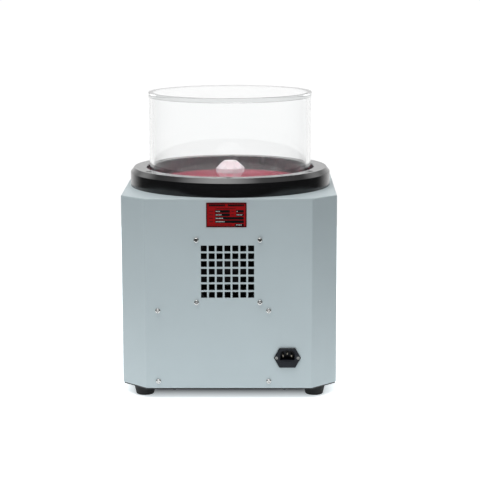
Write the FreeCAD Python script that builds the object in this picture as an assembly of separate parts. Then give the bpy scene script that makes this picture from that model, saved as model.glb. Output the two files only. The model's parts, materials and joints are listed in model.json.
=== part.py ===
import FreeCAD, Part

import math
import os

# Bench-top magnetic tumbler: a folded sheet-metal cabinet with a black collar on its deck. A motor hung
# below the deck spins a disc of magnets under a red floor, and a clear acrylic drum stands mouth down in
# the collar, over its own lid. Frame: millimetres, +Z up, -Y is the front with the controls, +Y is the
# rear with the vent and the mains inlet. The origin is on the floor, on the axis of the drum and motor.

V = FreeCAD.Vector
UP = V(0, 0, 1)
REAR = V(0, 1, 0)
RIGHT = V(1, 0, 0)

# --- cabinet ---
BODY_HALF = 180.0
BODY_CORNER = 42.0
BODY_BOTTOM = 18.0
BODY_HEIGHT = 320.0
SHEET = 1.5
VERTICAL_BEND = 3.0
EDGE_BEND = 2.0
LIP_WIDTH = 16.0
DECK_HOLE_R = 135.0
BASE_THICKNESS = 2.0
BASE_INSET = 1.5
FOOT_OFFSET = 143.0
FOOT_BOTTOM_R = 15.0
FOOT_TOP_R = 18.0

# --- collar, drum and lid ---
COLLAR_OUTER_R = 173.0
COLLAR_INNER_R = 145.0
COLLAR_HEIGHT = 31.5
COLLAR_SIDE_HEIGHT = 23.5
COLLAR_BEVEL = 6.2
COLLAR_EDGE = 1.2
COLLAR_SCREWS = 6
COLLAR_SCREW_R = 157.5
FLOOR_R = 148.5
FLOOR_THICKNESS = 3.0
LID_R = 141.0
LID_THICKNESS = 4.0
SPIGOT_R = 132.5
SPIGOT_HEIGHT = 2.0
DRUM_R = 140.0
DRUM_WALL = 7.0
DRUM_TUBE_LENGTH = 144.0
DRUM_PLATE_R = 141.0
DRUM_PLATE_THICKNESS = 8.0

# --- faceted lid knob ---
KNOB_HEIGHT = 32.0
KNOB_GIRDLE_R = 24.5
KNOB_GIRDLE_TOP = 19.6
KNOB_GIRDLE_BOTTOM = 11.0
KNOB_TABLE_R = 10.4
KNOB_BASE_R = 13.0

# --- drive ---
PILLAR_R = 6.0
PLATE_TOP = 284.0
PLATE_THICKNESS = 4.0
PLATE_R = 168.0
PLATE_HOLE_R = 24.0
MOTOR_R = 62.0
MOTOR_BOTTOM = 144.0
MOTOR_CAN_WALL = 3.0
MOTOR_BOLT_R = 50.0
BELL_HEIGHT = 14.0
SHAFT_R = 7.0
BEARING_R = 17.5
BEARING_HEIGHT = 11.0
CORE_R = 37.0
CORE_HALF = 38.0
AIR_GAP = 1.0
RUNNING_CLEARANCE = 0.06
HUB_R = 30.0
DISC_R = 118.0
DISC_BOTTOM = 318.0
DISC_THICKNESS = 12.0
MAGNET_R = 14.0
MAGNET_DEPTH = 9.0
MAGNET_RINGS = ((96.0, 12), (58.0, 8))

# --- vent and fan ---
FAN_SIZE = 120.0
FAN_DEPTH = 38.0
FAN_PITCH = 105.0
FAN_X = 1.0
FAN_Z = 216.5
FAN_BORE_R = 57.5
FAN_FLANGE = 5.0
FAN_HUB_R = 25.0
FAN_TIP_R = 55.5
FAN_BLADES = 7
FAN_MIDDLE_DEPTH = 16.0
FAN_PIN_R = 2.5
GRILLE_X = 2.0
GRILLE_Z = 216.0
GRILLE_COUNT = 7
GRILLE_PITCH = 13.0
GRILLE_HOLE = 10.0

# --- mains inlet with its fuse drawer ---
INLET_X = -97.0
INLET_Z = 70.2
INLET_WIDTH = 45.0
INLET_HEIGHT = 33.0
INLET_TOP_WIDTH = 26.6
INLET_FLANGE = 3.0
INLET_BODY = (27.0, 30.0, 24.5)
INLET_SCREW_PITCH = 36.0
SOCKET_SIZE = (24.5, 16.6)
SOCKET_OFFSET = 4.75
SOCKET_CORNER = 4.5
SOCKET_DEPTH = 17.0
PIN_TAIL = 7.0
PIN_SIZE = (2.0, 4.0)
PIN_SPREAD = 7.0
PIN_STEP = 2.0
DRAWER_SIZE = (23.0, 7.2, 20.0)
DRAWER_OFFSET = -9.4
DRAWER_CLEARANCE = 0.2
FUSE_R = 2.6
FUSE_LENGTH = 20.0
DRAWER_FLOOR = 1.0

# --- motor drive on the rear wall ---
DRIVE_X = 26.0
DRIVE_Z = 90.0
DRIVE_PITCH = (184.0, 120.0)
CARRIER_SIZE = (196.0, 3.0, 132.0)
BOARD_SIZE = (168.0, 1.6, 102.0)
BOARD_STANDOFF = 8.0

# --- control panel on the front wall ---
PANEL_Z = 232.0
PANEL_SIZE = (230.0, 92.0)
PANEL_THICKNESS = 2.0
SWITCH_BEZEL = (25.5, 31.5, 2.2)
SWITCH_OPENING = (19.6, 26.6)
SWITCH_BODY = (22.4, 29.0, 25.0)
ROCKER_SIZE = (19.0, 24.4)
ROCKER_PIVOT_DEPTH = 1.0
ROCKER_PIN_R = 1.5
POWER_X = -90.0
DIRECTION_X = -54.0
TIMER_X = 10.0
SPEED_X = 80.0
ROCKER_TILT = 10.0
BUSHING_R = 5.0
SPINDLE_R = 3.0
DIAL_KNOB_R = 18.0
DIAL_KNOB_HEIGHT = 17.0
DIAL_FLUTES = 24

# --- rating plate ---
RATING_X = 3.5
RATING_Z = 311.0
RATING_SIZE = (66.5, 41.0, 0.6)

# --- internal leads ---
LEAD_R = 3.0
ARC_SHARE = 0.45

BODY_TOP = BODY_BOTTOM + BODY_HEIGHT
INNER_HALF = BODY_HALF - SHEET
DECK_UNDERSIDE = BODY_TOP - SHEET
FLOOR_TOP = BODY_TOP + FLOOR_THICKNESS
LID_TOP = FLOOR_TOP + SPIGOT_HEIGHT + LID_THICKNESS
COLLAR_TOP = BODY_TOP + COLLAR_HEIGHT
DRUM_PLATE_BOTTOM = LID_TOP + DRUM_TUBE_LENGTH
PLATE_BOTTOM = PLATE_TOP - PLATE_THICKNESS
PANEL_FRONT = -BODY_HALF - PANEL_THICKNESS
SWITCH_BACK = PANEL_FRONT + SWITCH_BODY[2]
INLET_FRONT = BODY_HALF + INLET_FLANGE
CORE_MIDDLE = (MOTOR_BOTTOM + PLATE_BOTTOM) / 2
DISC_TOP = DISC_BOTTOM + DISC_THICKNESS
BOARD_FRONT = INNER_HALF - CARRIER_SIZE[1] - BOARD_STANDOFF - BOARD_SIZE[1]
FAN_FRONT = INNER_HALF - FAN_DEPTH
MOTOR_LEAD_WAY = V(math.cos(math.radians(60)), math.sin(math.radians(60)), 0)


# --- building blocks ---
def block(x_range, y_range, z_range):
    """A box between two limits on each axis."""
    size = [r[1] - r[0] for r in (x_range, y_range, z_range)]
    return Part.makeBox(*size, V(x_range[0], y_range[0], z_range[0]))


def centred(centre, size):
    """A box of a size about a centre."""
    low = V(*centre) - V(*size) * 0.5
    return Part.makeBox(*size, low)


def disc(radius, low, high, x=0.0, y=0.0):
    """An upright cylinder."""
    return Part.makeCylinder(radius, high - low, V(x, y, low), UP)


def rod(radius, y_low, y_high, x, z):
    """A cylinder along Y."""
    return Part.makeCylinder(radius, y_high - y_low, V(x, y_low, z), REAR)


def ring(outer, inner, low, high, x=0.0, y=0.0):
    return disc(outer, low, high, x, y).cut(disc(inner, low - 1, high + 1, x, y))


def prism(points, along):
    """A flat outline pushed along a vector."""
    wire = Part.makePolygon([V(*p) for p in points] + [V(*points[0])])
    return Part.Face(wire).extrude(along)


def octagon(inset, low, high):
    """The cabinet's plan outline, moved in by an inset, between two heights."""
    half = BODY_HALF - inset
    flat = BODY_HALF - BODY_CORNER - inset * (math.sqrt(2) - 1)
    corners = [(half, -flat), (half, flat), (flat, half), (-flat, half)]
    corners += [(-x, -y) for x, y in corners]
    return prism([(x, y, low) for x, y in corners], V(0, 0, high - low))


def spun(profile, x=0.0, y=0.0):
    """A solid of revolution about an upright axis, from (radius, height) points."""
    wire = Part.makePolygon([V(r, 0, z) for r, z in profile + profile[:1]])
    solid = Part.Face(wire).revolve(V(0, 0, 0), UP, 360)
    solid.translate(V(x, y, 0))
    return solid


def around(count, radius, start=0.0):
    """Evenly spaced (x, y) places on a circle."""
    turns = [math.radians(start + 360.0 * k / count) for k in range(count)]
    return [(radius * math.cos(a), radius * math.sin(a)) for a in turns]


def corners_of(centre, pitch):
    """The four corners of a rectangle of holes, as (x, z)."""
    signs = ((-1, -1), (1, -1), (1, 1), (-1, 1))
    return [(centre[0] + sx * pitch[0] / 2, centre[1] + sz * pitch[1] / 2) for sx, sz in signs]


def joined(shapes):
    whole = shapes[0].multiFuse(shapes[1:]) if len(shapes) > 1 else shapes[0]
    return whole.removeSplitter()


def aimed(shape, place, direction):
    """Turns a shape made along +Z to point along a direction, and moves it."""
    moved = shape.copy()
    moved.Placement = FreeCAD.Placement(V(*place), FreeCAD.Rotation(UP, direction))
    return moved


def edges_where(shape, test):
    """Straight or curved edges whose two ends both pass a test."""
    return [e for e in shape.Edges if e.Vertexes and all(test(v.Point) for v in e.Vertexes)]


def rounded_box(centre, size, radius, axis=2):
    """A box whose four edges along one axis are rounded."""
    box = centred(centre, size)
    along = [
        e for e in box.Edges
        if abs(e.Vertexes[0].Point[axis] - e.Vertexes[1].Point[axis]) > size[axis] / 2
    ]
    return box.makeFillet(radius, along)


# --- fasteners, made along +Z with the head's seat at zero ---
def cross_recess(top, width, depth, turn):
    arms = [centred((0, 0, top - depth / 2 + 0.5), (width, width * 0.29, depth + 1.0))]
    arms.append(arms[0].copy())
    arms[1].rotate(V(0, 0, 0), UP, 90)
    cross = joined(arms)
    cross.rotate(V(0, 0, 0), UP, turn)
    return cross


def pan_screw(shank_r, length, head_r, head_height, turn=45.0):
    """Flat-topped head with a rounded rim above zero, shank below, with a cross recess."""
    head = disc(head_r, 0, head_height)
    rim = edges_where(head, lambda p: p.z > head_height - 0.01)
    head = head.makeFillet(head_height * 0.68, rim)
    screw = joined([head, disc(shank_r, -length, 0.2)])
    return screw.cut(cross_recess(head_height, head_r * 1.15, head_height * 0.55, turn))


def flat_screw(shank_r, length, head_r, turn=45.0):
    """Countersunk head whose face is at zero, with a cross recess."""
    cone = Part.makeCone(shank_r, head_r, head_r - shank_r, V(0, 0, shank_r - head_r))
    screw = joined([cone, disc(shank_r, -length, shank_r - head_r + 0.01)])
    return screw.cut(cross_recess(0, head_r * 1.1, head_r * 0.35, turn))


def hex_prism(across_flats, low, high):
    radius = across_flats / math.sqrt(3)
    return prism([(x, y, low) for x, y in around(6, radius)], V(0, 0, high - low))


def hex_bolt(shank_r, length, across_flats, head_height):
    return joined([hex_prism(across_flats, 0, head_height), disc(shank_r, -length, 0.5)])


def hex_nut(hole_r, across_flats, height):
    return hex_prism(across_flats, 0, height).cut(disc(hole_r, -1, height + 1))


# --- cabinet ---
def fan_screw_places():
    return corners_of((FAN_X, FAN_Z), (FAN_PITCH, FAN_PITCH))


def drive_screw_places():
    return corners_of((DRIVE_X, DRIVE_Z), DRIVE_PITCH)


def inlet_screw_places():
    return [(INLET_X + side * INLET_SCREW_PITCH / 2, INLET_Z) for side in (-1, 1)]


def collar_screw_places():
    """Six places, one of them at the middle of the rear."""
    return around(COLLAR_SCREWS, COLLAR_SCREW_R, 30)


def rear_wall_openings():
    """The vent's grid of square holes, the inlet's opening and the screw holes."""
    wall = (INNER_HALF - 4, BODY_HALF + 4)
    middle, depth = sum(wall) / 2, wall[1] - wall[0]
    steps = [(k - (GRILLE_COUNT - 1) / 2) * GRILLE_PITCH for k in range(GRILLE_COUNT)]
    hole = (GRILLE_HOLE, depth, GRILLE_HOLE)
    cuts = [centred((GRILLE_X + x, middle, GRILLE_Z + z), hole) for x in steps for z in steps]
    cuts += [rod(2.2, *wall, x, z) for x, z in fan_screw_places() + drive_screw_places()]
    cuts += [rod(1.6, *wall, x, z) for x, z in inlet_screw_places()]
    cuts.append(centred((INLET_X, middle, INLET_Z), (INLET_BODY[0] + 0.4, depth, INLET_BODY[1] + 0.4)))
    return cuts


def front_openings(y_low, y_high, screw_hole_r):
    """Openings that the front wall and the control panel share."""
    middle, depth = (y_low + y_high) / 2, y_high - y_low
    switch = (SWITCH_BODY[0] + 0.4, depth, SWITCH_BODY[1] + 0.4)
    cuts = [centred((x, middle, PANEL_Z), switch) for x in (POWER_X, DIRECTION_X)]
    cuts += [rod(BUSHING_R + 0.2, y_low, y_high, x, PANEL_Z) for x in (TIMER_X, SPEED_X)]
    return cuts + [rod(screw_hole_r, y_low, y_high, x, z) for x, z in panel_screw_places()]


def deck_and_lip_openings():
    cuts = [disc(DECK_HOLE_R, DECK_UNDERSIDE - 2, BODY_TOP + 2)]
    cuts += [disc(2.7, DECK_UNDERSIDE - 2, BODY_TOP + 2, x, y) for x, y in collar_screw_places()]
    return cuts + [disc(1.9, BODY_BOTTOM - 2, BODY_BOTTOM + 4, x, y) for x, y in base_screw_places()]


def housing_shell():
    """Walls, deck and bottom lip of one folded and welded sheet, with rounded bends."""
    outer = octagon(0, BODY_BOTTOM, BODY_TOP)
    upright = [e for e in outer.Edges if abs(e.Vertexes[0].Z - e.Vertexes[1].Z) > 1]
    outer = outer.makeFillet(VERTICAL_BEND, upright)
    rims = edges_where(outer, lambda p: abs(p.z - BODY_TOP) < 0.01)
    rims += edges_where(outer, lambda p: abs(p.z - BODY_BOTTOM) < 0.01)
    outer = outer.makeFillet(EDGE_BEND, rims)
    hollow = octagon(SHEET, BODY_BOTTOM + SHEET, DECK_UNDERSIDE)
    mouth = octagon(LIP_WIDTH, BODY_BOTTOM - 2, BODY_BOTTOM + SHEET + 1)
    cuts = rear_wall_openings() + front_openings(-BODY_HALF - 4, -INNER_HALF + 4, 1.6)
    cuts += deck_and_lip_openings()
    return outer.cut(hollow).cut(mouth).cut(Part.makeCompound(cuts))


def base_screw_places():
    """Eight screws through the bottom lip, two on each side."""
    reach = BODY_HALF - LIP_WIDTH / 2 - 0.5
    places = [(side * 92.0, end * reach) for side in (-1, 1) for end in (-1, 1)]
    return places + [(end * reach, side * 92.0) for side in (-1, 1) for end in (-1, 1)]


def foot_places():
    names = {"front_right": (1, -1), "front_left": (-1, -1), "rear_right": (1, 1), "rear_left": (-1, 1)}
    return {name: (sx * FOOT_OFFSET, sy * FOOT_OFFSET) for name, (sx, sy) in names.items()}


def base_plate():
    """Closing plate under the cabinet, with air slots and holes for the feet."""
    low = BODY_BOTTOM - BASE_THICKNESS
    plate = octagon(BASE_INSET, low, BODY_BOTTOM)
    cuts = [disc(2.2, low - 1, BODY_BOTTOM + 1, x, y) for x, y in base_screw_places()]
    cuts += [disc(2.2, low - 1, BODY_BOTTOM + 1, x, y) for x, y in foot_places().values()]
    for side in (-1, 1):
        for k in range(7):
            slot = rounded_box((side * 75.0, (k - 3) * 14.0, low + 1), (80.0, 5.0, 6.0), 2.4)
            cuts.append(slot)
    return plate.cut(Part.makeCompound(cuts))


def foot(x, y):
    """Tapered rubber foot with a pocket for its screw."""
    top = BODY_BOTTOM - BASE_THICKNESS
    outline = [(5.2, 0), (FOOT_BOTTOM_R - 1, 0), (FOOT_BOTTOM_R, 1), (FOOT_TOP_R, top - 2), (FOOT_TOP_R, top)]
    return spun(outline + [(2.3, top), (2.3, 8.0), (5.2, 8.0)], x, y)


def base_fasteners():
    low = BODY_BOTTOM - BASE_THICKNESS
    down = V(0, 0, -1)
    base = [aimed(pan_screw(1.8, 7.0, 3.9, 2.4), (x, y, low), down) for x, y in base_screw_places()]
    feet = [aimed(pan_screw(2.0, 14.0, 4.2, 2.8), (x, y, 8.0), down) for x, y in foot_places().values()]
    return base, feet


# --- collar, floor, drum and lid ---
def collar_ring():
    """Solid plastic ring with a bevelled top edge, rebated underneath to hold the floor down."""
    low = BODY_TOP
    profile = [
        (FLOOR_R + 0.5, low),
        (COLLAR_OUTER_R, low),
        (COLLAR_OUTER_R, low + COLLAR_SIDE_HEIGHT),
        (COLLAR_OUTER_R - COLLAR_BEVEL, COLLAR_TOP),
        (COLLAR_INNER_R + COLLAR_EDGE, COLLAR_TOP),
        (COLLAR_INNER_R, COLLAR_TOP - COLLAR_EDGE),
        (COLLAR_INNER_R, FLOOR_TOP),
        (FLOOR_R + 0.5, FLOOR_TOP),
    ]
    cuts = []
    for x, y in collar_screw_places():
        cuts.append(disc(2.7, low - 1, COLLAR_TOP + 1, x, y))
        cuts.append(Part.makeCone(2.7, 5.7, 3.0, V(x, y, COLLAR_TOP - 3.0)))
        cuts.append(disc(5.7, COLLAR_TOP - 0.01, COLLAR_TOP + 1, x, y))
    return spun(profile).cut(Part.makeCompound(cuts))


def collar_screws():
    sunk = COLLAR_TOP - 0.4
    places = collar_screw_places()
    return [aimed(flat_screw(2.4, 44.0, 5.1, 20.0 * k), (x, y, sunk), UP) for k, (x, y) in enumerate(places)]


def lid_plate():
    """Flat disc with a shallow step that fits the drum's mouth when the lid is the other way up."""
    edge = 0.6
    profile = [
        (0, FLOOR_TOP),
        (SPIGOT_R, FLOOR_TOP),
        (SPIGOT_R, FLOOR_TOP + SPIGOT_HEIGHT),
        (LID_R, FLOOR_TOP + SPIGOT_HEIGHT),
        (LID_R, LID_TOP - edge),
        (LID_R - edge, LID_TOP),
        (0, LID_TOP),
    ]
    return spun(profile)


def half_space(point, normal, size=200.0):
    """A large block on the far side of a plane."""
    return aimed(centred((0, 0, size / 2), (size, size, size)), point, normal)


def lid_knob():
    """Brilliant-cut knob: a small flat table, crown facets, a tall girdle and a tapered base."""
    low, girdle_low, girdle_high = LID_TOP, LID_TOP + KNOB_GIRDLE_BOTTOM, LID_TOP + KNOB_GIRDLE_TOP
    table = LID_TOP + KNOB_HEIGHT
    gem = disc(KNOB_GIRDLE_R + 2, low, table)
    crown = math.atan2(KNOB_HEIGHT - KNOB_GIRDLE_TOP, KNOB_GIRDLE_R - KNOB_TABLE_R)
    base = math.atan2(KNOB_GIRDLE_BOTTOM, KNOB_GIRDLE_R - 1.0 - KNOB_BASE_R)
    cuts = []
    for k in range(16):
        turn = math.radians(22.5 * k)
        out = V(math.cos(turn), math.sin(turn), 0)
        cuts.append(half_space(out * KNOB_GIRDLE_R + UP * girdle_high, out + UP * 0.03))
        steeper = math.radians(9) * (k % 2)
        start = KNOB_GIRDLE_R * (1.0 - 0.008 * (k % 2))
        slope = out * math.sin(crown + steeper) + UP * math.cos(crown + steeper)
        cuts.append(half_space(out * start + UP * girdle_high, slope))
        slope = out * math.sin(base + steeper) - UP * math.cos(base + steeper)
        cuts.append(half_space(out * (KNOB_GIRDLE_R - 1.0) + UP * girdle_low, slope))
    for cut in cuts:
        gem = gem.cut(cut)
    return gem


def drum_tube():
    return ring(DRUM_R, DRUM_R - DRUM_WALL, LID_TOP, DRUM_PLATE_BOTTOM)


def drum_end_plate():
    edge = 0.8
    top = DRUM_PLATE_BOTTOM + DRUM_PLATE_THICKNESS
    rim = [(DRUM_PLATE_R - edge, DRUM_PLATE_BOTTOM), (DRUM_PLATE_R, DRUM_PLATE_BOTTOM + edge)]
    rim += [(DRUM_PLATE_R, top - edge), (DRUM_PLATE_R - edge, top)]
    return spun([(0, DRUM_PLATE_BOTTOM)] + rim + [(0, top)])


# --- motor and its magnet disc ---
def standoff_pillars():
    blank = disc(PILLAR_R, PLATE_TOP, DECK_UNDERSIDE)
    bore = disc(2.5, DECK_UNDERSIDE - 22.0, DECK_UNDERSIDE + 1)
    lower_bore = disc(3.05, PLATE_TOP - 1, PLATE_TOP + 16.0)
    pillar = blank.cut(Part.makeCompound([bore, lower_bore]))
    pillars = []
    for x, y in collar_screw_places():
        one = pillar.copy()
        one.translate(V(x, y, 0))
        pillars.append(one)
    return pillars


def motor_plate():
    plate = disc(PLATE_R, PLATE_BOTTOM, PLATE_TOP)
    cuts = [disc(PLATE_HOLE_R, PLATE_BOTTOM - 1, PLATE_TOP + 1)]
    for x, y in collar_screw_places() + around(4, MOTOR_BOLT_R, 45):
        cuts.append(disc(3.2, PLATE_BOTTOM - 1, PLATE_TOP + 1, x, y))
    for x, y in around(6, 112.0):
        cuts.append(disc(24.0, PLATE_BOTTOM - 1, PLATE_TOP + 1, x, y))
    return plate.cut(Part.makeCompound(cuts))


def plate_bolts():
    """Identical bolts: six up into the pillars and four down into the motor."""
    down = V(0, 0, -1)
    bolt = hex_bolt(3.0, 17.0, 10.0, 3.2)
    hung = [aimed(bolt, (x, y, PLATE_BOTTOM), down) for x, y in collar_screw_places()]
    return hung + [aimed(bolt, (x, y, PLATE_TOP), UP) for x, y in around(4, MOTOR_BOLT_R, 45)]


def motor_upper_bell():
    low = PLATE_BOTTOM - BELL_HEIGHT
    pilot = disc(PLATE_HOLE_R - 0.2, PLATE_BOTTOM - 1, PLATE_TOP - 1)
    bell = joined([disc(MOTOR_R + 2, low, PLATE_BOTTOM), pilot])
    seat = disc(BEARING_R, low - 1, low + BEARING_HEIGHT)
    cuts = [seat, disc(SHAFT_R + 1.0, low, PLATE_TOP + 1)]
    cuts += [disc(3.1, low - 1, PLATE_BOTTOM + 1, x, y) for x, y in around(4, MOTOR_BOLT_R, 45)]
    return bell.cut(Part.makeCompound(cuts))


def motor_lower_bell():
    high = MOTOR_BOTTOM + BELL_HEIGHT
    bell = disc(MOTOR_R + 2, MOTOR_BOTTOM, high)
    return bell.cut(disc(BEARING_R, high - BEARING_HEIGHT, high + 1))


def motor_can():
    low, high = MOTOR_BOTTOM + BELL_HEIGHT, PLATE_BOTTOM - BELL_HEIGHT
    can = ring(MOTOR_R, MOTOR_R - MOTOR_CAN_WALL, low, high)
    return can.cut(Part.makeCylinder(LEAD_R + 0.2, 12.0, on_motor_lead(-8.0), MOTOR_LEAD_WAY))


def on_motor_lead(distance):
    """A point on the lead's straight way out of the motor, at a distance outside the can."""
    return MOTOR_LEAD_WAY * (MOTOR_R + distance) + V(0, 0, CORE_MIDDLE)


def motor_stator():
    """Laminated ring with a wider winding head at each end."""
    outer = MOTOR_R - MOTOR_CAN_WALL
    core = ring(outer, CORE_R + AIR_GAP, CORE_MIDDLE - CORE_HALF, CORE_MIDDLE + CORE_HALF)
    heads = []
    for low in (CORE_MIDDLE - CORE_HALF - 11, CORE_MIDDLE + CORE_HALF):
        heads.append(ring(outer - 5, CORE_R + 4, low, low + 11))
    return joined([core] + heads)


def bearing(low):
    return ring(BEARING_R, SHAFT_R + RUNNING_CLEARANCE, low, low + BEARING_HEIGHT)


def motor_shaft():
    """Shaft from the lower bearing up to the underside of the disc."""
    low = MOTOR_BOTTOM + BELL_HEIGHT - BEARING_HEIGHT + 0.5
    return disc(SHAFT_R, low, DISC_BOTTOM)


def motor_armature():
    return ring(CORE_R, SHAFT_R, CORE_MIDDLE - CORE_HALF, CORE_MIDDLE + CORE_HALF)


def disc_hub():
    """Flanged boss on the shaft, under the disc."""
    boss = joined([disc(16.0, 292.0, DISC_BOTTOM - 8), disc(HUB_R, DISC_BOTTOM - 8, DISC_BOTTOM)])
    cuts = [disc(SHAFT_R, 290.0, DISC_BOTTOM + 1)]
    cuts += [disc(2.1, DISC_BOTTOM - 9, DISC_BOTTOM + 1, x, y) for x, y in around(4, 23.0)]
    return boss.cut(Part.makeCompound(cuts))


def magnet_places():
    places = []
    for radius, count in MAGNET_RINGS:
        places += around(count, radius, 180.0 / count)
    return places


def magnet_disc():
    plate = disc(DISC_R, DISC_BOTTOM, DISC_TOP)
    cuts = [disc(MAGNET_R, DISC_TOP - MAGNET_DEPTH, DISC_TOP + 1, x, y) for x, y in magnet_places()]
    for x, y in around(4, 23.0):
        cuts.append(disc(2.6, DISC_BOTTOM - 1, DISC_TOP + 1, x, y))
        cuts.append(disc(4.8, DISC_TOP - 5.2, DISC_TOP + 1, x, y))
    return plate.cut(Part.makeCompound(cuts))


def disc_magnets():
    return [disc(MAGNET_R, DISC_TOP - MAGNET_DEPTH, DISC_TOP, x, y) for x, y in magnet_places()]


def hub_screws():
    head_seat = DISC_TOP - 5.2
    screw = joined([disc(4.2, 0, 4.0), disc(2.0, -13.0, 0.5)]).cut(hex_prism(4.0, 1.6, 5.0))
    return [aimed(screw, (x, y, head_seat), UP) for x, y in around(4, 23.0)]


# --- fan behind the vent ---
def fan_frame():
    """Square flanges joined by a round barrel, with four arms holding the fan's motor cup."""
    low, high = FAN_FRONT, INNER_HALF
    solids = []
    for y in (low + FAN_FLANGE / 2, high - FAN_FLANGE / 2):
        solids.append(rounded_box((FAN_X, y, FAN_Z), (FAN_SIZE, FAN_FLANGE, FAN_SIZE), 7.0, 1))
    solids.append(rod(FAN_SIZE / 2 - 0.2, low + 1, high - 1, FAN_X, FAN_Z))
    frame = joined(solids).cut(rod(FAN_BORE_R, low - 1, high + 1, FAN_X, FAN_Z))
    span = 2 * FAN_BORE_R + 3
    arms = [centred((FAN_X, low + 2.5, FAN_Z), size) for size in ((span, 5.0, 5.0), (5.0, 5.0, span))]
    frame = joined([frame, rod(FAN_HUB_R - 1, low, low + 8.0, FAN_X, FAN_Z)] + arms)
    holes = [rod(2.25, low - 1, high + 1, x, z) for x, z in fan_screw_places()]
    holes.append(rod(FAN_PIN_R + RUNNING_CLEARANCE, low - 1, low + 9, FAN_X, FAN_Z))
    return frame.cut(Part.makeCompound(holes))


def fan_blade():
    """One blade, twisted from a steep root to a flatter tip."""
    sections = []
    for radius, chord, tilt in ((FAN_HUB_R - 1.5, 19.0, 50.0), (FAN_TIP_R, 25.0, 30.0)):
        half, thin = chord / 2, 0.9
        turn = math.radians(tilt)
        along = V(math.cos(turn), math.sin(turn), 0)
        across = V(-math.sin(turn), math.cos(turn), 0)
        corners = [along * s * half + across * t * thin for s, t in ((-1, -1), (1, -1), (1, 1), (-1, 1))]
        points = [c + V(0, 0, radius) for c in corners]
        sections.append(Part.makePolygon(points + points[:1]))
    return Part.makeLoft(sections, True, True)


def fan_impeller():
    """Hub on a pin that turns in the frame's cup, with its blades."""
    middle = INNER_HALF - FAN_MIDDLE_DEPTH
    hub = rod(FAN_HUB_R, middle - 12.0, middle + 12.0, 0, 0)
    pin = rod(FAN_PIN_R, FAN_FRONT + 1, middle, 0, 0)
    blades = []
    for k in range(FAN_BLADES):
        blade = fan_blade()
        blade.translate(V(0, middle, 0))
        blade.rotate(V(0, 0, 0), REAR, 360.0 * k / FAN_BLADES)
        blades.append(blade)
    impeller = joined([hub, pin] + blades)
    impeller.translate(V(FAN_X, 0, FAN_Z))
    return impeller


def rear_screws(places, length):
    """Pan-head screws seen on the rear wall, each with its recess at its own angle."""
    screws = []
    for k, (x, z) in enumerate(places):
        screws.append(aimed(pan_screw(2.0, length, 4.4, 2.9, 45.0 + 17.0 * k), (x, BODY_HALF, z), REAR))
    return screws


def m4_nuts():
    """Nuts of the fan's screws and of the feet's screws."""
    nut = hex_nut(2.05, 7.0, 3.2)
    nuts = [aimed(nut, (x, FAN_FRONT, z), -REAR) for x, z in fan_screw_places()]
    return nuts + [aimed(nut, (x, y, BODY_BOTTOM), UP) for x, y in foot_places().values()]


# --- mains inlet ---
def socket_outline(depth_from, depth_to, grow=0.0):
    """The connector's mouth: a rectangle with its two upper corners cut off."""
    half, tall = SOCKET_SIZE[0] / 2 + grow, SOCKET_SIZE[1] / 2 + grow
    cut = SOCKET_CORNER
    middle = INLET_Z + SOCKET_OFFSET
    side = [(half, -tall), (half, tall - cut), (half - cut, tall)]
    outline = side + [(-x, z) for x, z in reversed(side)]
    points = [(INLET_X + x, depth_from, middle + z) for x, z in outline]
    return prism(points, V(0, depth_to - depth_from, 0))


def pin_places():
    middle = INLET_Z + SOCKET_OFFSET
    return [(INLET_X - PIN_SPREAD, middle - PIN_STEP), (INLET_X + PIN_SPREAD, middle - PIN_STEP),
            (INLET_X, middle + PIN_STEP)]


def power_inlet():
    """Six-sided flange outside the wall, body inside it, connector mouth above and drawer pocket below."""
    half, top, tall = INLET_WIDTH / 2, INLET_TOP_WIDTH / 2, INLET_HEIGHT / 2
    outline = [(half, 0), (top, tall), (-top, tall), (-half, 0), (-top, -tall), (top, -tall)]
    points = [(INLET_X + x, BODY_HALF, INLET_Z + z) for x, z in outline]
    flange = prism(points, V(0, INLET_FLANGE, 0))
    rim = edges_where(flange, lambda p: abs(p.y - INLET_FRONT) < 0.01)
    flange = flange.makeChamfer(0.7, rim)
    width, height, depth = INLET_BODY
    back = INNER_HALF - depth
    body = centred((INLET_X, (back + BODY_HALF) / 2, INLET_Z), (width, BODY_HALF - back, height))
    cuts = [socket_outline(INLET_FRONT - SOCKET_DEPTH, INLET_FRONT + 1)]
    gap = 2 * DRAWER_CLEARANCE
    pocket_y = (INLET_FRONT - DRAWER_SIZE[2] - 1, INLET_FRONT + 1)
    pocket = (DRAWER_SIZE[0] + gap, pocket_y[1] - pocket_y[0], DRAWER_SIZE[1] + gap)
    cuts.append(centred((INLET_X, sum(pocket_y) / 2, INLET_Z + DRAWER_OFFSET), pocket))
    for x, z in pin_places():
        cuts.append(centred((x, back + 10, z), (PIN_SIZE[0], 40.0, PIN_SIZE[1])))
    for x, z in inlet_screw_places():
        cuts.append(rod(1.6, BODY_HALF - 1, INLET_FRONT + 1, x, z))
        cuts.append(Part.makeCone(1.6, 2.8, 1.2, V(x, INLET_FRONT - 1.2, z), REAR))
    return joined([flange, body]).cut(Part.makeCompound(cuts))


def inlet_pins():
    low, high = INNER_HALF - INLET_BODY[2] - PIN_TAIL, INLET_FRONT - 3.5
    pins = []
    for x, z in pin_places():
        pin = centred((x, (low + high) / 2, z), (PIN_SIZE[0], high - low, PIN_SIZE[1]))
        tip = edges_where(pin, lambda p: abs(p.y - high) < 0.01)
        pins.append(pin.makeChamfer(0.5, tip))
    return pins


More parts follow.
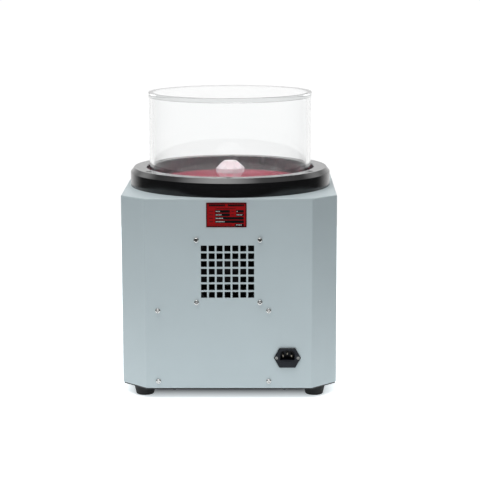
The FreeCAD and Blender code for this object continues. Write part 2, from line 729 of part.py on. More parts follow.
def fuse_drawer():
    """Small tray that slides out of the inlet, with a lip to pull and a pocket for the fuse."""
    width, height, depth = DRAWER_SIZE
    z = INLET_Z + DRAWER_OFFSET
    body = centred((INLET_X, INLET_FRONT - depth / 2, z), (width, depth + 0.4, height))
    face = centred((INLET_X, INLET_FRONT + 0.85, z), (width + 1.6, 1.3, height + 1.4))
    rim = edges_where(face, lambda p: p.y > INLET_FRONT + 1.4)
    face = face.makeFillet(0.5, rim)
    notch = centred((INLET_X, INLET_FRONT + 1.5, z + height / 2 + 0.4), (8.0, 1.0, 1.4))
    room = (FUSE_LENGTH + 0.6, 2 * FUSE_R + 0.6, height)
    cradle = centred((INLET_X, INLET_FRONT - 11.0, z + DRAWER_FLOOR), room)
    return joined([body, face]).cut(Part.makeCompound([notch, cradle]))


def glass_fuse():
    z = INLET_Z + DRAWER_OFFSET - DRAWER_SIZE[1] / 2 + DRAWER_FLOOR + FUSE_R
    start = V(INLET_X - FUSE_LENGTH / 2, INLET_FRONT - 11.0, z)
    return Part.makeCylinder(FUSE_R, FUSE_LENGTH, start, RIGHT)


def inlet_screws():
    screw = flat_screw(1.5, 9.0, 2.5, 30.0)
    return [aimed(screw, (x, INLET_FRONT - 0.1, z), REAR) for x, z in inlet_screw_places()]


# --- motor drive ---
def drive_carrier():
    """Flat plate screwed inside the rear wall, which carries the board."""
    plate = centred((DRIVE_X, INNER_HALF - CARRIER_SIZE[1] / 2, DRIVE_Z), CARRIER_SIZE)
    holes = [rod(2.1, INNER_HALF - 4, INNER_HALF + 1, x, z) for x, z in drive_screw_places()]
    return plate.cut(Part.makeCompound(holes))


def drive_board():
    """Circuit board on its four spacers."""
    board = centred((DRIVE_X, BOARD_FRONT + BOARD_SIZE[1] / 2, DRIVE_Z), BOARD_SIZE)
    pitch = (BOARD_SIZE[0] - 12, BOARD_SIZE[2] - 12)
    back = INNER_HALF - CARRIER_SIZE[1]
    legs = [rod(3.0, BOARD_FRONT + 1, back, x, z) for x, z in corners_of((DRIVE_X, DRIVE_Z), pitch)]
    return joined([board] + legs)


def drive_heatsink():
    """Finned block on the board, fins upright."""
    left, high = DRIVE_X - 78, (DRIVE_Z - 40, DRIVE_Z + 40)
    fins = [block((left, left + 56), (BOARD_FRONT - 6, BOARD_FRONT), high)]
    for k in range(9):
        x = left + k * 6.75
        fins.append(block((x, x + 2), (BOARD_FRONT - 34, BOARD_FRONT - 5), high))
    return joined(fins)


def drive_capacitors():
    return [rod(12.0, BOARD_FRONT - 40, BOARD_FRONT, DRIVE_X + 30.0 * k, DRIVE_Z + 30) for k in range(3)]


def drive_transformer():
    """Small transformer: a laminated block with a winding standing out of it."""
    place = (DRIVE_X + 24, BOARD_FRONT - 15, DRIVE_Z - 24)
    return joined([centred(place, (48.0, 30.0, 40.0)), centred(place, (34.0, 30.0, 46.0))])


def terminal_block():
    x, z = DRIVE_X + 68, DRIVE_Z - 24
    body = centred((x, BOARD_FRONT - 9, z), (16.0, 18.0, 48.0))
    holes = [rod(2.2, BOARD_FRONT - 19, BOARD_FRONT - 8, x, z - 18 + 9 * k) for k in range(5)]
    return body.cut(Part.makeCompound(holes))


# --- control panel ---
def panel_screw_places():
    return corners_of((0, PANEL_Z), (PANEL_SIZE[0] - 14, PANEL_SIZE[1] - 14))


def control_panel():
    middle = -BODY_HALF - PANEL_THICKNESS / 2
    size = (PANEL_SIZE[0], PANEL_THICKNESS, PANEL_SIZE[1])
    plate = rounded_box((0, middle, PANEL_Z), size, 6.0, 1)
    return plate.cut(Part.makeCompound(front_openings(PANEL_FRONT - 1, -BODY_HALF + 1, 1.7)))


def panel_screws():
    screws = []
    for k, (x, z) in enumerate(panel_screw_places()):
        screws.append(aimed(pan_screw(1.5, 9.0, 3.2, 2.1, 25.0 * k), (x, PANEL_FRONT, z), -REAR))
    return screws


def switch_body(x):
    """Rocker switch housing: a bezel on the panel and an open box behind it."""
    wide, tall, thick = SWITCH_BEZEL
    bezel = rounded_box((x, PANEL_FRONT - thick / 2, PANEL_Z), (wide, thick, tall), 2.0, 1)
    body_w, body_h, body_d = SWITCH_BODY
    body = centred((x, PANEL_FRONT + body_d / 2 - 0.5, PANEL_Z), (body_w, body_d + 1, body_h))
    cavity_depth = 12.0
    cavity = (SWITCH_OPENING[0], cavity_depth + 2, SWITCH_OPENING[1])
    opening = centred((x, PANEL_FRONT - thick + cavity_depth / 2 - 1, PANEL_Z), cavity)
    tabs = [centred((x + dx, SWITCH_BACK + 4, PANEL_Z), (0.8, 9.0, 6.0)) for dx in (-6, 6)]
    pivot_hole = pivot_pin(x, ROCKER_PIN_R + RUNNING_CLEARANCE, SWITCH_BODY[0] / 2 - 0.4)
    return joined([bezel, body] + tabs).cut(opening).cut(pivot_hole)


def pivot_pin(x, radius, half_length):
    """The rocker's pivot, along X."""
    start = V(x - half_length, PANEL_FRONT + ROCKER_PIVOT_DEPTH, PANEL_Z)
    return Part.makeCylinder(radius, 2 * half_length, start, RIGHT)


def rocker(x, tilt):
    """Rocker with a shallow V face, turned about its own pivot to a rest tilt."""
    pivot_y = PANEL_FRONT + ROCKER_PIVOT_DEPTH
    half = ROCKER_SIZE[1] / 2
    outline = [(4.0, -half), (4.0, half), (-6.6, half), (-3.8, 0), (-6.6, -half)]
    points = [(x - ROCKER_SIZE[0] / 2, pivot_y + y, PANEL_Z + z) for y, z in outline]
    body = prism(points, RIGHT * ROCKER_SIZE[0])
    ends = [e for e in body.Edges if abs(e.Vertexes[0].X - e.Vertexes[1].X) > 1]
    body = body.makeFillet(0.6, [e for e in ends if e.Vertexes[0].Y < pivot_y - 6])
    body = joined([body, pivot_pin(x, ROCKER_PIN_R, ROCKER_SIZE[0] / 2 + 0.8)])
    body.rotate(V(x, pivot_y, PANEL_Z), RIGHT, tilt)
    return body


def spindle_device(x, body):
    """A control's body behind the wall, with the threaded bushing that its spindle turns in."""
    bushing = rod(BUSHING_R, PANEL_FRONT - 3.0, -INNER_HALF + 1, x, PANEL_Z)
    bore = rod(SPINDLE_R + RUNNING_CLEARANCE, PANEL_FRONT - 4, -INNER_HALF + 14, x, PANEL_Z)
    return joined([body, bushing]).cut(bore)


def timer_body():
    case = rounded_box((TIMER_X, -INNER_HALF + 18, PANEL_Z), (52.0, 36.0, 52.0), 4.0, 1)
    return spindle_device(TIMER_X, case)


def speed_pot():
    case = rod(15.0, -INNER_HALF, -INNER_HALF + 20, SPEED_X, PANEL_Z)
    lugs = centred((SPEED_X, -INNER_HALF + 6, PANEL_Z - 18), (14.0, 1.0, 10.0))
    return spindle_device(SPEED_X, joined([case, lugs]))


def bushing_nuts():
    nut = hex_prism(14.0, 0, 2.4).cut(disc(BUSHING_R + 0.05, -1, 4))
    return [aimed(nut, (x, PANEL_FRONT, PANEL_Z), -REAR) for x in (TIMER_X, SPEED_X)]


def dial_knob(x, lowest):
    """Fluted knob with a skirt, a pointer groove and its spindle, turned to its lowest setting."""
    back = PANEL_FRONT - 3.8
    front = back - DIAL_KNOB_HEIGHT
    profile = [
        (0, 0),
        (DIAL_KNOB_R + 2.0, 0),
        (DIAL_KNOB_R + 2.0, 1.6),
        (DIAL_KNOB_R, 3.6),
        (DIAL_KNOB_R - 1.6, DIAL_KNOB_HEIGHT - 1.5),
        (DIAL_KNOB_R - 3.0, DIAL_KNOB_HEIGHT),
        (0, DIAL_KNOB_HEIGHT),
    ]
    body = spun(profile)
    rim = around(DIAL_FLUTES, DIAL_KNOB_R + 0.2)
    flutes = [disc(1.3, 4.2, DIAL_KNOB_HEIGHT + 1, fx, fy) for fx, fy in rim]
    groove = centred((0, DIAL_KNOB_R * 0.62, DIAL_KNOB_HEIGHT), (1.8, DIAL_KNOB_R * 0.8, 1.4))
    body = body.cut(Part.makeCompound(flutes + [groove]))
    knob = joined([body, disc(SPINDLE_R, -16.0, 1.0)])
    knob.rotate(V(0, 0, 0), UP, lowest)
    knob.rotate(V(0, 0, 0), RIGHT, 90)
    knob.translate(V(x, back, PANEL_Z))
    return knob


# --- rating plate ---
def rating_plate():
    width, height, thick = RATING_SIZE
    return rounded_box((RATING_X, BODY_HALF + thick / 2, RATING_Z), (width, thick, height), 1.0, 1)


# --- internal leads ---
def lead(points, radius, name):
    """A round lead along straight runs joined by tangent arcs, each as large as its runs allow."""
    corners = [V(*p) for p in points]
    edges, radii = [], []
    start = corners[0]
    for before, here, after in zip(corners, corners[1:], corners[2:]):
        back, ahead = (before - here), (after - here)
        run = min(back.Length, ahead.Length)
        back.normalize()
        ahead.normalize()
        turn = math.pi - back.getAngle(ahead)
        reach = ARC_SHARE * run
        radii.append(reach / math.tan(turn / 2))
        first, last = here + back * reach, here + ahead * reach
        inward = back + ahead
        inward.normalize()
        middle = here + inward * (radii[-1] / math.cos(turn / 2) - radii[-1])
        edges.append(Part.LineSegment(start, first).toShape())
        edges.append(Part.Arc(first, middle, last).toShape())
        start = last
    edges.append(Part.LineSegment(start, corners[-1]).toShape())
    path = Part.Wire(edges)
    circle = Part.Circle(corners[0], corners[1] - corners[0], radius).toShape()
    solid = path.makePipeShell([Part.Wire([circle])], True, False)
    swept = math.pi * radius**2 * path.Length
    rounded = [round(r) for r in radii]
    print(f"{name}: {path.Length:.0f} mm, radii {rounded}, volume ratio {solid.Volume / swept:.4f}")
    return solid


def mains_lead():
    """From the inlet's terminals round the left side to the power switch."""
    back = INNER_HALF - INLET_BODY[2] - PIN_TAIL
    end_y = SWITCH_BACK + 8.5
    route = [
        (INLET_X, back, INLET_Z + 6),
        (INLET_X, back - 34, INLET_Z + 6),
        (-128, 62, 92),
        (-140, 8, 128),
        (-136, -46, 168),
        (-116, -92, 208),
        (POWER_X - 6, end_y + 34, PANEL_Z),
        (POWER_X - 6, end_y, PANEL_Z),
    ]
    return lead(route, LEAD_R, "mains_lead")


def motor_lead():
    """Out of the motor can and down to the terminals of the drive."""
    route = [
        on_motor_lead(-MOTOR_CAN_WALL),
        on_motor_lead(22.0),
        (64, 88, 192),
        (84, 104, 160),
        (94, 108, 124),
        (DRIVE_X + 70, 108, 96),
        (DRIVE_X + 68, 122, DRIVE_Z - 15),
        (DRIVE_X + 68, BOARD_FRONT - 18, DRIVE_Z - 15),
    ]
    return lead(route, LEAD_R, "motor_lead")


def main():
    base_screws, foot_screws = base_fasteners()
    nodes = {
        "housing_shell": housing_shell(),
        "base_plate": base_plate(),
        "base_screws": base_screws,
        "foot_screws": foot_screws,
        "collar_ring": collar_ring(),
        "collar_screws": collar_screws(),
        "floor_disc": disc(FLOOR_R, BODY_TOP, FLOOR_TOP),
        "lid_plate": lid_plate(),
        "lid_knob": lid_knob(),
        "drum_tube": drum_tube(),
        "drum_end_plate": drum_end_plate(),
        "standoff_pillars": standoff_pillars(),
        "motor_plate": motor_plate(),
        "plate_bolts": plate_bolts(),
        "motor_can": motor_can(),
        "motor_upper_bell": motor_upper_bell(),
        "motor_lower_bell": motor_lower_bell(),
        "motor_stator": motor_stator(),
        "motor_armature": motor_armature(),
        "motor_shaft": motor_shaft(),
        "upper_bearing": bearing(PLATE_BOTTOM - BELL_HEIGHT),
        "lower_bearing": bearing(MOTOR_BOTTOM + BELL_HEIGHT - BEARING_HEIGHT),
        "disc_hub": disc_hub(),
        "magnet_disc": magnet_disc(),
        "disc_magnets": disc_magnets(),
        "hub_screws": hub_screws(),
        "fan_frame": fan_frame(),
        "fan_impeller": fan_impeller(),
        "fan_screws": rear_screws(fan_screw_places(), FAN_DEPTH + 6),
        "m4_nuts": m4_nuts(),
        "power_inlet": power_inlet(),
        "inlet_pins": inlet_pins(),
        "fuse_drawer": fuse_drawer(),
        "glass_fuse": glass_fuse(),
        "inlet_screws": inlet_screws(),
        "drive_carrier": drive_carrier(),
        "drive_screws": rear_screws(drive_screw_places(), 8.0),
        "drive_board": drive_board(),
        "drive_heatsink": drive_heatsink(),
        "drive_capacitors": drive_capacitors(),
        "drive_transformer": drive_transformer(),
        "terminal_block": terminal_block(),
        "control_panel": control_panel(),
        "panel_screws": panel_screws(),
        "power_switch_body": switch_body(POWER_X),
        "power_rocker": rocker(POWER_X, -ROCKER_TILT),
        "direction_switch_body": switch_body(DIRECTION_X),
        "direction_rocker": rocker(DIRECTION_X, 0.0),
        "timer_body": timer_body(),
        "timer_knob": dial_knob(TIMER_X, 150.0),
        "speed_pot": speed_pot(),
        "speed_knob": dial_knob(SPEED_X, 135.0),
        "bushing_nuts": bushing_nuts(),
        "rating_plate": rating_plate(),
        "mains_lead": mains_lead(),
        "motor_lead": motor_lead(),
    }
    for name, (x, y) in foot_places().items():
        nodes["foot_" + name] = foot(x, y)
    os.makedirs("parts", exist_ok=True)
    for name, made in nodes.items():
        shape = Part.makeCompound(made) if isinstance(made, list) else made
        if not shape.isValid() or not shape.Solids:
            print("not valid:", name)
        shape.exportStep(f"parts/{name}.step")
    print(len(nodes), "nodes")


main()
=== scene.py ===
import json
import math

import bmesh
import bpy
from mathutils import Matrix, Vector


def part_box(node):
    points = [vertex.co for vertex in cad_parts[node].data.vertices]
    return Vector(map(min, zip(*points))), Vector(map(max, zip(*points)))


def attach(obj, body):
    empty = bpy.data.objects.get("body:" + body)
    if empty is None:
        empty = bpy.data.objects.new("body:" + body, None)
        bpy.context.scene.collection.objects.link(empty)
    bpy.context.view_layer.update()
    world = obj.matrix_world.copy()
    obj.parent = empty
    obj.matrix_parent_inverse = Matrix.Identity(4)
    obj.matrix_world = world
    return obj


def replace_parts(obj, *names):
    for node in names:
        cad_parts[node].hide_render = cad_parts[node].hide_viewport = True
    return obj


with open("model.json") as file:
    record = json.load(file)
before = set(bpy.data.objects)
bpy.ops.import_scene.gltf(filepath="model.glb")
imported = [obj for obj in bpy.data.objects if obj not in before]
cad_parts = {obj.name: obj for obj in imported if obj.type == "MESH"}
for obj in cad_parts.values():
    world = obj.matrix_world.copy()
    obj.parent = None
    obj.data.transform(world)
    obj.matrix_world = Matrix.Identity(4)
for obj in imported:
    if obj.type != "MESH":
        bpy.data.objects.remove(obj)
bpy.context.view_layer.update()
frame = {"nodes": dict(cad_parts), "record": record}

MM = 0.001

# --- the reference view: from behind the cabinet, a little above it, with a long lens ---
CAMERA_PLACE = Vector((-0.0512, 2.8728, 0.7336))
CAMERA_PITCH = math.radians(9.784)
CAMERA_PAN = math.radians(0.69)
CAMERA_ROLL = math.radians(-0.17)
CAMERA_LENS = 124.57
SENSOR = 36.0

# --- the studio: a white table, a white backdrop on the -Y side and a pale ceiling ---
# Each ramp is (from, to, strength at from, strength at to). The glow ramp runs with the distance from the
# middle of the table, the backdrop and ceiling ramps with the Y and Z of the direction, and the lamp ramp
# with the share of the lamp's width from its middle.
RAMP_SOCKETS = ("From Min", "From Max", "To Min", "To Max")
TABLE_X = (-0.7, 0.9)
TABLE_Y = (-1.6, 0.9)
# The table's glow falls from strong round the object to almost nothing under it: a painted shadow under the
# body.
GLOW_AND_PAINTED_SHADOW_SPAN = (0.120, 0.172, 0.06, 0.77)
BACKDROP = (-0.93, -0.5, 1.03, 0.06)
CEILING = (0.35, 0.9, 0.0, 0.8)
LAMP_FADE = (0.1, 0.5, 1.0, 0.0)

BORE_EDGE = 145.1 * MM
GLASS_GAP = 0.03 * MM
GLASS_EDGE = 0.4 * MM
LID_STEP = 2 * MM
SPIGOT_CLEARANCE = 0.5 * MM
INK = 0.06 * MM
HOLD = 0.05 * MM
SEGMENTS = 256

# --- rating plate: millimetres from its top left corner, and strokes as (length, gap, height) ---
PLATE_INSET = 0.3
PLATE_LINE = 1.5
HEADING_PLACES = ((4.6, 4.5), (35.6, 4.5))
HEADING_STROKE = (2.55, 0.15, 3.3)
SUBHEADING_PLACE = (16.0, 9.6)
SUBHEADING_STROKE = (1.3, 0.55, 1.4)
ROWS = 4
SPLIT_ROWS = 2
FIRST_ROW = 14.6
ROW_PITCH = 5.7
LABEL_LEFT = 5.2
LABEL_STROKE = (1.2, 0.4, 1.6)
FIELD_LEFT = 14.7
FIELD_SPLIT = 39.1
SECOND_LABEL_LEFT = 41.7
SECOND_FIELD_LEFT = 48.9
FIELD_MARGIN = 4.6
FIELD_HEIGHT = 4.4
DASH_INSET = 1.2
DASH_STROKE = (1.7, 0.8, 1.5)
FOOT_LINE = 3.9
FOOT_STROKE = (1.3, 0.6, 1.2)
FOOT_BOX = (47.0, 3.6)
FOOT_DASH_LEFT = 49.0
FOOT_DASH_STROKE = (1.6, 0.9, 1.4)

# --- front panel marks ---
MAJOR_TICK = (0.7 * MM, 3.2 * MM)
MINOR_TICK = (0.4 * MM, 1.8 * MM)
TICK_GAP = 1.4 * MM
NUMBER_GAP = 7.6 * MM
NUMBER_HEIGHT = 4.2 * MM
POINTER_LIFT = 0.7 * MM
POINTER_MIDDLE = 11.0 * MM
POINTER_SIZE = (1.3 * MM, 9.0 * MM)
ROCKER_PIVOT_DEPTH = 1.0 * MM
ROCKER_SLOPE = math.atan2(2.8, 12.2)
ROCKER_MARK_OUT = 5.35 * MM
ROCKER_MARK_UP = 6.8 * MM
ROCKER_LINE = (0.9 * MM, 4.4 * MM)
ROCKER_RING_R = 1.9 * MM
ROCKER_RING_BAR = (0.42 * MM, 0.7 * MM)
ROCKER_RING_BARS = 24
PANEL_LINE_INSET = (14 * MM, 2.5 * MM)
PANEL_LINE_WIDTH = 0.6 * MM


# =====================================================================================================
# Materials
# =====================================================================================================
class Finish:
    """A Principled material, with short calls that add procedural patterns to it."""

    def __init__(self, name, roughness, metallic=0.0, **sockets):
        self.material = bpy.data.materials.new(name)
        self.material.use_nodes = True
        self.nodes = self.material.node_tree.nodes
        self.links = self.material.node_tree.links
        self.shader = self.nodes["Principled BSDF"]
        self.set(Roughness=roughness, Metallic=metallic, **sockets)
        self.where = self.nodes.new("ShaderNodeTexCoord").outputs["Object"]
        self.normal = None

    def set(self, **sockets):
        for socket, value in sockets.items():
            self.shader.inputs[socket.replace("_", " ")].default_value = value

    def maths(self, operation, first, second=0.0):
        node = self.nodes.new("ShaderNodeMath")
        node.operation = operation
        for slot, value in zip(node.inputs, (first, second)):
            if isinstance(value, float):
                slot.default_value = value
            else:
                self.links.new(value, slot)
        return node.outputs["Value"]

    def clouds(self, size, detail=2.0, stretch=(1.0, 1.0, 1.0), where=None):
        """A soft random pattern whose features are about this size, in metres."""
        mapping = self.nodes.new("ShaderNodeMapping")
        mapping.inputs["Scale"].default_value = [1.0 / (size * s) for s in stretch]
        noise = self.nodes.new("ShaderNodeTexNoise")
        noise.inputs["Scale"].default_value = 1.0
        noise.inputs["Detail"].default_value = detail
        self.links.new(where or self.where, mapping.inputs["Vector"])
        self.links.new(mapping.outputs["Vector"], noise.inputs["Vector"])
        return noise.outputs["Fac"]

    def around_axis(self):
        """Coordinates (radius, height, 0) about the Z axis, so that a pattern runs round in rings."""
        parts = self.nodes.new("ShaderNodeSeparateXYZ")
        self.links.new(self.where, parts.inputs["Vector"])
        squares = [self.maths("MULTIPLY", parts.outputs[k], parts.outputs[k]) for k in (0, 1)]
        radius = self.maths("SQRT", self.maths("ADD", *squares))
        joined = self.nodes.new("ShaderNodeCombineXYZ")
        self.links.new(radius, joined.inputs["X"])
        self.links.new(parts.outputs["Z"], joined.inputs["Y"])
        return joined.outputs["Vector"], radius

    def shade(self, pattern, dark, light):
        ramp = self.nodes.new("ShaderNodeValToRGB")
        for stop, place, colour in zip(ramp.color_ramp.elements, (0.3, 0.7), (dark, light)):
            stop.position = place
            stop.color = (*colour, 1.0)
        self.links.new(pattern, ramp.inputs["Fac"])
        return ramp.outputs["Color"]

    def tint(self, pattern, dark, light):
        self.links.new(self.shade(pattern, dark, light), self.shader.inputs["Base Color"])
        return self

    def polish(self, pattern, smooth, rough):
        self.links.new(self.span(pattern, 0.3, 0.7, smooth, rough), self.shader.inputs["Roughness"])
        return self

    def span(self, value, low, high, to_low=0.0, to_high=1.0):
        node = self.nodes.new("ShaderNodeMapRange")
        for socket, number in zip(RAMP_SOCKETS, (low, high, to_low, to_high)):
            node.inputs[socket].default_value = number
        self.links.new(value, node.inputs["Value"])
        return node.outputs["Result"]

    def blend(self, mask, under, over):
        """A colour that goes from one to the other with the mask."""
        node = self.nodes.new("ShaderNodeMix")
        node.data_type = "RGBA"
        self.links.new(mask, node.inputs["Factor"])
        self.links.new(under, node.inputs["A"])
        self.links.new(over, node.inputs["B"])
        return node.outputs["Result"]

    def relief(self, pattern, depth, strength=1.0):
        """Adds a bump this deep, in metres, on top of any earlier one."""
        bump = self.nodes.new("ShaderNodeBump")
        bump.inputs["Distance"].default_value = depth
        bump.inputs["Strength"].default_value = strength
        self.links.new(pattern, bump.inputs["Height"])
        if self.normal:
            self.links.new(self.normal, bump.inputs["Normal"])
        self.normal = bump.outputs["Normal"]
        self.links.new(self.normal, self.shader.inputs["Normal"])
        return self


def scaled(colour, amount):
    return tuple(min(1.0, c * amount) for c in colour)


def moulded(name, colour, roughness, spread=0.12, grain=0.5 * MM, depth=0.02 * MM, **sockets):
    """Plastic or rubber: fine moulded grain, faint clouding and uneven gloss."""
    made = Finish(name, roughness, **sockets)
    made.tint(made.clouds(18 * MM, 4.0), scaled(colour, 1 - spread), scaled(colour, 1 + spread))
    made.polish(made.clouds(6 * MM, 3.0), roughness - 0.06, roughness + 0.08)
    return made.relief(made.clouds(grain, 2.0), depth)


def painted(name, colour, roughness, peel=1.3 * MM, depth=0.012 * MM):
    """Powder coat: orange peel, a finer speckle in the colour, and slow drifts of tone and gloss."""
    made = Finish(name, roughness)
    mixed = made.maths("ADD", made.clouds(0.6 * MM, 2.0), made.clouds(90 * MM, 3.0))
    made.tint(made.maths("MULTIPLY", mixed, 0.5), scaled(colour, 0.965), scaled(colour, 1.03))
    made.polish(made.clouds(25 * MM, 3.0), roughness - 0.04, roughness + 0.06)
    made.relief(made.clouds(peel, 1.0), depth)
    return made.relief(made.clouds(0.25 * MM, 1.0), depth * 0.25)


def machined(name, colour, roughness, stretch=(1.0, 1.0, 0.05), line=0.4 * MM):
    """Bare metal with fine tool lines and smudges of duller surface."""
    made = Finish(name, roughness, metallic=1.0)
    made.tint(made.clouds(8 * MM, 4.0), scaled(colour, 0.86), scaled(colour, 1.04))
    made.polish(made.clouds(5 * MM, 4.0), roughness - 0.08, roughness + 0.12)
    return made.relief(made.clouds(line, 2.0, stretch), 0.006 * MM)


def turned_plastic():
    """The collar: satin black plastic, turned all over, with a bore coloured a lighter, streaky grey."""
    made = Finish("turned_plastic", 0.18, IOR=1.56)
    rings, radius = made.around_axis()
    bore = made.span(radius, BORE_EDGE, BORE_EDGE + 0.4 * MM, 1.0, 0.0)
    satin = made.shade(made.clouds(20 * MM, 3.0), (0.0040, 0.0040, 0.0046), (0.0058, 0.0058, 0.0066))
    streaks = made.clouds(6 * MM, 6.0, (1.0, 1.0, 2.4))
    # The bore is coloured a lighter, streaky grey than the rest of the collar.
    bore_grey = made.shade(streaks, (0.010, 0.010, 0.012), (0.092, 0.090, 0.099))
    made.links.new(made.blend(bore, satin, bore_grey), made.shader.inputs["Base Color"])
    gloss = made.span(made.clouds(28 * MM, 3.0), 0.3, 0.7, 0.170, 0.185)
    duller = made.maths("MAXIMUM", gloss, made.maths("MULTIPLY", bore, 0.55))
    made.links.new(duller, made.shader.inputs["Roughness"])
    made.relief(made.clouds(0.35 * MM, 2.0, where=rings), 0.002 * MM)
    return made.relief(made.clouds(0.3 * MM, 2.0), 0.001 * MM)


def clear_acrylic():
    """Polished clear plastic: faint draw lines, tiny scuffs, and a faint grey where it is thick."""
    made = Finish("clear_acrylic", 0.01, IOR=1.49, Transmission_Weight=1.0)
    made.tint(made.clouds(60 * MM, 2.0), (0.985, 0.992, 0.992), (0.995, 0.998, 0.998))
    made.polish(made.clouds(3 * MM, 6.0), 0.0, 0.012)
    absorb = made.nodes.new("ShaderNodeVolumeAbsorption")
    absorb.inputs["Color"].default_value = (0.60, 0.63, 0.63, 1.0)
    absorb.inputs["Density"].default_value = 1.9
    made.links.new(absorb.outputs["Volume"], made.nodes["Material Output"].inputs["Volume"])
    return made.relief(made.clouds(60 * MM, 1.0, (1.0, 1.0, 6.0)), 0.004 * MM)


def cut_crystal():
    """The knob: cast clear plastic, a little milky, with bright polished facets."""
    made = Finish("cut_crystal", 0.02, IOR=1.75, Transmission_Weight=0.58)
    made.tint(made.clouds(5 * MM, 3.0), (0.94, 0.93, 0.96), (0.99, 0.98, 1.00))
    made.polish(made.clouds(4 * MM, 4.0), 0.0, 0.04)
    return made.relief(made.clouds(1.0 * MM, 2.0), 0.001 * MM)


def floor_plastic():
    """Red sheet with faint scuffs and uneven gloss; its pale, bright pink is painted reflection and light
    from the clear plastic over it.
    """
    made = Finish("floor_plastic", 0.40, Specular_IOR_Level=0.2)
    # The red is lifted to a pale, bright pink: a painted reflection of the clear plastic over it, and
    # painted light where the lamps reach it only through that plastic.
    made.tint(made.clouds(9 * MM, 5.0), (0.78, 0.076, 0.146), (0.92, 0.162, 0.258))
    made.polish(made.clouds(7 * MM, 6.0), 0.30, 0.50)
    return made.relief(made.clouds(2.0 * MM, 2.0), 0.004 * MM)


def laminated():
    """Stacked steel sheets, seen as fine lines across the stack."""
    made = Finish("laminated", 0.45, metallic=1.0)
    sheets = made.clouds(0.5 * MM, 1.0, (60.0, 60.0, 1.0))
    made.tint(sheets, (0.10, 0.10, 0.11), (0.24, 0.24, 0.25))
    return made.relief(sheets, 0.05 * MM)


def circuit_board():
    """Green solder mask with the shadow of tracks under it."""
    made = Finish("circuit_board", 0.38)
    made.tint(made.clouds(2.5 * MM, 0.0, (3.0, 1.0, 0.6)), (0.006, 0.07, 0.025), (0.02, 0.16, 0.06))
    made.polish(made.clouds(4 * MM, 2.0), 0.30, 0.48)
    return made.relief(made.clouds(2.5 * MM, 0.0, (3.0, 1.0, 0.6)), 0.03 * MM)


def printed(name, colour, roughness, **sockets):
    """Ink on the plates: even colour with a fine mottle from the screen it was printed through."""
    made = Finish(name, roughness, **sockets)
    made.tint(made.clouds(0.5 * MM, 2.0), scaled(colour, 0.88), scaled(colour, 1.08))
    return made.relief(made.clouds(0.3 * MM, 1.0), 0.003 * MM)


def light_table():
    """The pale floor, not part of the object: white, and glowing as if lit from below, with the glow fading
    to almost nothing where the object stands: a painted shadow under it.
    """
    made = Finish("light_table", 0.9)
    # The glow is faintly blue and lights the cabinet's lower faces from below: painted light from a floor
    # that is no lamp.
    made.set(Specular_IOR_Level=0.1, Emission_Color=(0.90, 0.97, 1.0, 1.0))
    parts = made.nodes.new("ShaderNodeSeparateXYZ")
    made.links.new(made.where, parts.inputs["Vector"])
    reach = made.maths("MAXIMUM", *(made.maths("ABSOLUTE", parts.outputs[k]) for k in (0, 1)))
    # The glow fades where the object stands: a painted shadow.
    made.links.new(made.span(reach, *GLOW_AND_PAINTED_SHADOW_SPAN), made.shader.inputs["Emission Strength"])
    return made.tint(made.clouds(400 * MM, 2.0), (0.80, 0.80, 0.80), (0.82, 0.82, 0.82))


def finishes():
    """One finished material for each slot of the record."""
    screw = machined("zinc_plated", (0.58, 0.58, 0.57), 0.17, (1.0, 1.0, 1.0), 0.2 * MM)
    return {
        "powder_coat": painted("powder_coat", (0.465, 0.535, 0.558), 0.46),
        "black_sheet": painted("black_coat", (0.013, 0.013, 0.014), 0.42),
        "zinc_screw": screw,
        "black_screw": painted("black_oxide", (0.012, 0.012, 0.013), 0.38, 0.4 * MM, 0.004 * MM),
        "foot_rubber": moulded(
            "foot_rubber", (0.010, 0.010, 0.011), 0.62, 0.25, 0.8 * MM, 0.04 * MM, Specular_IOR_Level=0.3
        ),
        "collar_plastic": turned_plastic(),
        "floor_red": floor_plastic(),
        "clear_acrylic": clear_acrylic(),
        "steel": machined("turned_steel", (0.52, 0.52, 0.53), 0.32),
        "cast_aluminium": machined("cast_aluminium", (0.70, 0.71, 0.72), 0.42, (1.0, 1.0, 1.0), 0.7 * MM),
        "lamination": laminated(),
        "nickel": machined("nickel_plate", (0.72, 0.69, 0.63), 0.18, (1.0, 1.0, 1.0), 1.5 * MM),
        "motor_paint": painted("motor_paint", (0.02, 0.02, 0.022), 0.36, 2.0 * MM, 0.02 * MM),
        "black_plastic": moulded("black_plastic", (0.008, 0.010, 0.015), 0.36, Specular_IOR_Level=0.2),
        "switch_plastic": moulded(
            "switch_plastic", (0.010, 0.010, 0.011), 0.24, 0.1, 1.2 * MM, 0.006 * MM
        ),
        "rocker_red": moulded("rocker_red", (0.46, 0.012, 0.012), 0.22, 0.08, 1.2 * MM, 0.006 * MM),
        "brass": machined("contact_brass", (0.34, 0.31, 0.26), 0.28, (1.0, 0.1, 1.0), 0.2 * MM),
        "board_green": circuit_board(),
        "capacitor_sleeve": moulded(
            "capacitor_sleeve", (0.02, 0.025, 0.09), 0.30, 0.1, 1.0 * MM, 0.004 * MM
        ),
        "fuse_glass": moulded("fuse_glass", (0.75, 0.78, 0.78), 0.10, 0.05, 2.0 * MM, 0.002 * MM),
        "plate_red": printed("plate_red", (0.32, 0.007, 0.009), 0.26, Specular_IOR_Level=0.2),
        "lead_sheath": moulded("lead_sheath", (0.012, 0.012, 0.012), 0.50),
    }


def dress_frame(look):
    """Gives every CAD node the finished material of its slot in the record."""
    for part in frame["record"]["subparts"]:
        for slot in frame["nodes"][part["node"]].material_slots:
            slot.material = look[part["material_slot"]].material
    # The fan nodes take a darker material than the other black plastic: painted shade behind the vent.
    special = {
        "lid_knob": "cut_crystal",
        "fan_frame": "fan_painted_shade",
        "fan_impeller": "fan_painted_shade",
        "inlet_screws": "dull_zinc",
    }
    for node, finish in special.items():
        for slot in frame["nodes"][node].material_slots:
            slot.material = look[finish].material


